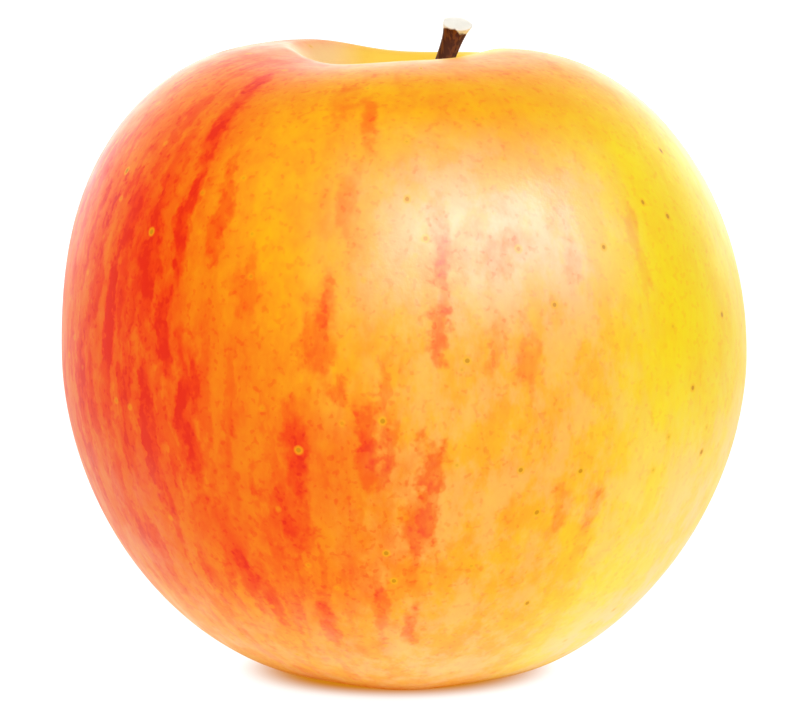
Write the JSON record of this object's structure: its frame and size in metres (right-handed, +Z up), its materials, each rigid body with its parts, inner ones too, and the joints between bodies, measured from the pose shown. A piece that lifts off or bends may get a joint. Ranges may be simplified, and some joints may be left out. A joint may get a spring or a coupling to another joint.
{
  "type": "apple",
  "caption": "Whole ripe apple with yellow skin under an orange-red streaked blush, a short woody stem and a dried calyx, standing upright.",
  "frame": {"origin": "on the surface the apple stands on, straight below its core", "axes": "+Z up along the core towards the stem, -Y towards the side that shows best, +X towards the yellow side, -X towards the blushed side"},
  "size_m": [0.0774, 0.0774, 0.0743],
  "materials": {
    "skin": "smooth natural wax with a soft sheen, yellow with an orange-red streaked blush",
    "stem_bark": "dry dark brown bark with a pale cut end",
    "calyx_leaf": "dry, matt, grey-brown"
  },
  "bodies": {
    "root": {"fruit": "skin", "stem": "stem_bark", "calyx": "calyx_leaf"}
  },
  "joints": []
}
